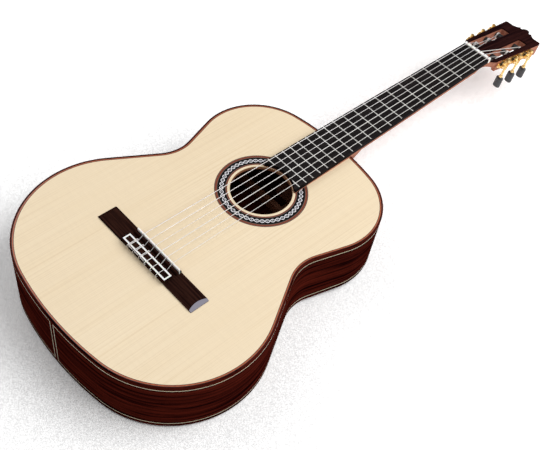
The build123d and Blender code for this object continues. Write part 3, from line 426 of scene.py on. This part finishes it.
finishes = {
    "soundboard": spruce(),
    "soundhole_ring": cedar(),
    "rosette_band": rosette_mosaic(),
    "rosette_rings": rosette_rings(),
    "neck": neck_wood,
    "heel_cap": back_rose,
    "head_plate": head_rose,
    "side_treble": side_rose,
    "side_bass": side_rose,
    "end_graft": side_rose,
    "top_binding": side_rose,
    "back_binding": side_rose,
    "purfling": purfling(),
    "back": back_rose,
    "back_inlay": light_line(),
    "back_braces": cedar(),
    "back_strip": cedar(),
    "tail_block": neck_wood,
    "linings": cedar(),
    "top_braces": cedar(),
    "fretboard": ebony(),
    "fretboard_wedge": neck_wood,
    "nut": bone(),
    "frets": metal("fret_wire", (0.86, 0.85, 0.82), (0.66, 0.64, 0.60), 0.2),
    "bridge": bridge_rose,
    "tie_block_inlay": bone(),
    "saddle": bone(),
    "tuner_plate_treble": gold,
    "tuner_plate_bass": gold,
    "plate_screws": gold,
}
button_black = plastic("button_black", (0.016, 0.015, 0.019), 0.3, coat=0.6)
roller_black = plastic("roller_black", (0.014, 0.013, 0.013), 0.38)
clear, silver = nylon(), wound()
for number in string_numbers:
    finishes[f"worm_shaft_{number}"] = gold
    finishes[f"gear_{number}"] = gold
    finishes[f"button_{number}"] = button_black
    finishes[f"roller_{number}"] = roller_black
    finishes[f"string_{number}"] = clear if number in nylon_strings else silver

for name, surface in finishes.items():
    mesh = nodes[name].data
    mesh.materials.clear()
    mesh.materials.append(surface.material)


# ---------------------------------------------------------------- lines round the soundboard
def outline_loop(node):
    """The outer edge of a flat plate's upper face, as points in order round it."""
    work = bmesh.new()
    work.from_mesh(nodes[node].data)
    bmesh.ops.remove_doubles(work, verts=work.verts, dist=1e-6)
    # The rim's edges are on the upper face, between a level face and an upright one.
    rim = set()
    for edge in work.edges:
        lowest = min(vert.co.z for vert in edge.verts)
        if len(edge.link_faces) != 2 or lowest < top_z - 1e-5:
            continue
        upright, level = sorted(abs(face.normal.z) for face in edge.link_faces)
        if upright < 0.5 < level:
            rim.add(edge)
    loops = []
    while rim:
        edge = rim.pop()
        chain = [edge.verts[0], edge.verts[1]]
        growing = True
        while growing:
            growing = False
            for following in list(rim):
                if chain[-1] in following.verts:
                    chain.append(following.other_vert(chain[-1]))
                    rim.discard(following)
                    growing = True
                    break
        loops.append([vert.co.copy() for vert in chain[:-1]])
    work.free()
    return max(loops, key=len)


def line_strip(name, points, inner, outer, height, surface):
    """A flat raised line that follows the outline, between two distances outside it."""
    count = len(points)
    # Twice the enclosed area, which is positive where the points run anticlockwise.
    turning = sum(
        points[i - 1].x * points[i].y - points[i].x * points[i - 1].y for i in range(count)
    )
    sign = 1.0 if turning > 0 else -1.0
    rows = []
    for i, point in enumerate(points):
        along = (points[(i + 1) % count] - points[i - 1]).normalized()
        away = Vector((along.y, -along.x, 0)) * sign
        rows.append((point + away * inner, point + away * outer))
    mesh = bpy.data.meshes.new(name)
    verts = []
    for near, far in rows:
        for spot, lift in ((near, -height), (near, height), (far, height), (far, -height)):
            verts.append((spot.x, spot.y, top_z + lift))
    faces = []
    for i in range(count):
        j = (i + 1) % count
        for k in range(4):
            m = (k + 1) % 4
            faces.append((4 * i + k, 4 * j + k, 4 * j + m, 4 * i + m))
    mesh.from_pydata(verts, [], faces)
    mesh.validate()
    piece = bpy.data.objects.new(name, mesh)
    bpy.context.scene.collection.objects.link(piece)
    tidy = bmesh.new()
    tidy.from_mesh(mesh)
    bmesh.ops.recalc_face_normals(tidy, faces=tidy.faces)
    tidy.to_mesh(mesh)
    tidy.free()
    mesh.materials.append(surface.material)
    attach(piece, "guitar")


line_black = plastic("line_black", (0.012, 0.009, 0.009), 0.34, coat=0.5)
rim_points = outline_loop("soundboard")
line_rise = 0.00004
line_strip("inner_black_line", rim_points, -0.0004, 0.0003, line_rise, line_black)
line_strip("outer_black_line", rim_points, 0.0018, 0.0024, line_rise, line_black)


# ---------------------------------------------------------------- camera, floor and light
view_azimuth = math.radians(39.03)
view_elevation = math.radians(51.42)
view_roll = math.radians(10.57)
view_distance = 1.1069
view_aim = Vector((0.0684, -0.1988, top_z))

camera_data = bpy.data.cameras.new("camera")
camera_data.lens = 55.33
camera_data.sensor_width = 36.0
camera_data.shift_x = 0.012
camera_data.shift_y = 0.0252
camera = bpy.data.objects.new("camera", camera_data)
bpy.context.scene.collection.objects.link(camera)
bpy.context.scene.camera = camera
back = Vector((
    math.sin(view_azimuth) * math.cos(view_elevation),
    -math.cos(view_azimuth) * math.cos(view_elevation),
    math.sin(view_elevation),
))
level = (-back).to_track_quat("-Z", "Y").to_matrix().to_4x4()
camera.matrix_world = (
    Matrix.Translation(view_aim + back * view_distance) @ level @ Matrix.Rotation(view_roll, 4, "Z")
)

floor_mesh = bpy.data.meshes.new("floor")
reach = 4.0
floor_z = cad_low.z - 0.0005
floor_corners = ((-reach, -reach), (reach, -reach), (reach, reach), (-reach, reach))
floor_mesh.from_pydata([(x, y, floor_z) for x, y in floor_corners], [], [(0, 1, 2, 3)])
floor = bpy.data.objects.new("floor", floor_mesh)
bpy.context.scene.collection.objects.link(floor)
floor_mesh.materials.append(plastic("floor_white", (0.93, 0.93, 0.93), 0.85).material)


def area_light(name, place, target, size, power):
    """A square white light of a given side, pointed at a target."""
    data = bpy.data.lights.new(name, "AREA")
    data.shape = "RECTANGLE"
    data.size = data.size_y = size
    data.energy = power
    light = bpy.data.objects.new(name, data)
    light.location = place
    light.rotation_mode = "QUATERNION"
    light.rotation_quaternion = (Vector(target) - Vector(place)).to_track_quat("-Z", "Y")
    bpy.context.scene.collection.objects.link(light)


area_light("key_light", (1.3, 1.0, 2.2), (0, 0, 0.05), 2.4, 70)
area_light("fill_light", (-1.6, -0.6, 2.0), (0, -0.1, 0.05), 2.2, 17)

world = bpy.data.worlds.new("studio")
world.use_nodes = True
background = world.node_tree.nodes["Background"]
background.inputs["Color"].default_value = (1, 1, 1, 1)
background.inputs["Strength"].default_value = 0.30
bpy.context.scene.world = world
bpy.context.scene.view_settings.view_transform = "Standard"
